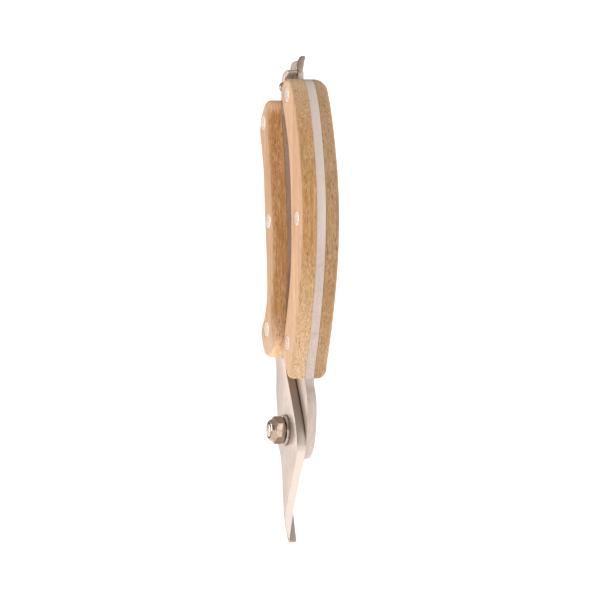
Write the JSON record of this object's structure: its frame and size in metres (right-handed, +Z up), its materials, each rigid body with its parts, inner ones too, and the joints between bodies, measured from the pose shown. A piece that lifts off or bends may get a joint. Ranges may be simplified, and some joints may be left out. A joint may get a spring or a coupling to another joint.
{
  "type": "pruning shears",
  "caption": "Bypass pruning shears with riveted wooden handle scales on full steel tangs, a pivot bolt with locking nut and an end catch.",
  "frame": {"origin": "middle of the bounding box, at its lowest point, the tip of the hook", "axes": "+Z up from the blade tips to the handle ends, +X from the finger handle to the palm handle, -Y towards the locking nut"},
  "size_m": [0.044, 0.0214, 0.1997],
  "materials": {
    "steel": "satin",
    "plated_steel": "bright",
    "pin_metal": "satin",
    "wood": "oiled",
    "nylon": "matte"
  },
  "bodies": {
    "palm_half": {"hook_plate": "steel", "palm_scale_front": "wood", "palm_scale_back": "wood", "palm_pin_top": "pin_metal", "palm_pin_middle": "pin_metal", "palm_pin_bottom": "pin_metal", "pivot_bolt": "plated_steel", "pivot_washer": "plated_steel", "pivot_nut": "plated_steel", "nut_insert": "nylon", "torsion_spring": "steel"},
    "finger_half": {"blade_plate": "steel", "finger_scale_front": "wood", "finger_scale_back": "wood", "finger_pin_top": "pin_metal", "finger_pin_middle": "pin_metal", "finger_pin_bottom": "pin_metal", "catch_rivet": "plated_steel"},
    "catch": {"catch_lever": "steel", "catch_washer": "steel"}
  },
  "joints": [
    {"name": "pivot", "type": "hinge", "parent": "palm_half", "child": "finger_half", "pos_m": [-0.0062, 0.00072, 0.04632], "axis": [0, -1, 0], "range_deg": [0, 30]},
    {"name": "catch_turn", "type": "hinge", "parent": "finger_half", "child": "catch", "pos_m": [-0.0096, 0.00072, 0.18692], "axis": [0, -1, 0], "range_deg": [0, 30]}
  ]
}
